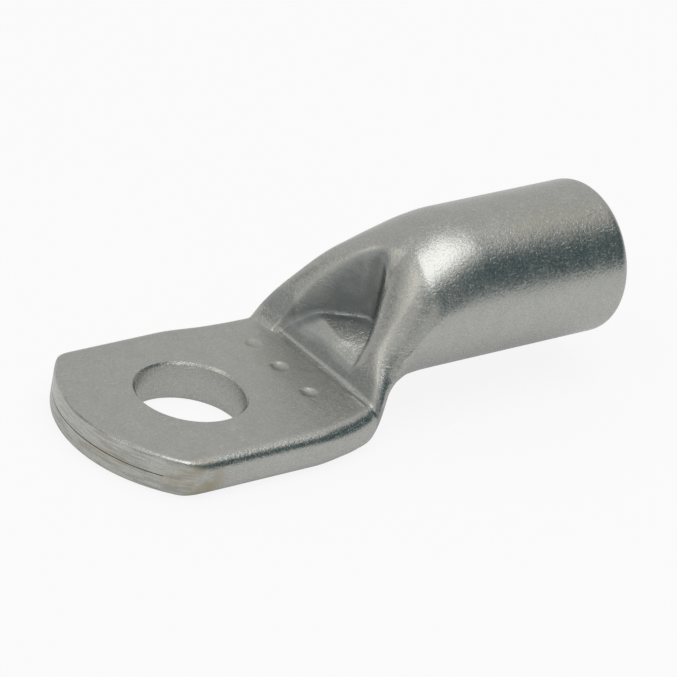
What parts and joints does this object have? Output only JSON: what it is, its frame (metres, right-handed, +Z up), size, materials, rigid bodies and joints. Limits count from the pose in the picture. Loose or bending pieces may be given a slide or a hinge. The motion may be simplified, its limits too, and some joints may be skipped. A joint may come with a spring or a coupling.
{
  "type": "cable lug",
  "caption": "Tubular crimp lug in tinned copper: round barrel for a stranded cable, pressed neck, and a flat palm with a bolt hole.",
  "frame": {"origin": "bolt hole axis in the plane of the palm's underside", "axes": "+Z up out of the palm along the bolt hole, +X from the bolt hole towards the open end of the barrel, +Y across the palm"},
  "size_m": [0.0467, 0.0182, 0.0138],
  "materials": {
    "tinned_copper": "tumbled satin tin plating over copper"
  },
  "bodies": {
    "root": {"cable_lug": "tinned_copper"}
  },
  "joints": []
}
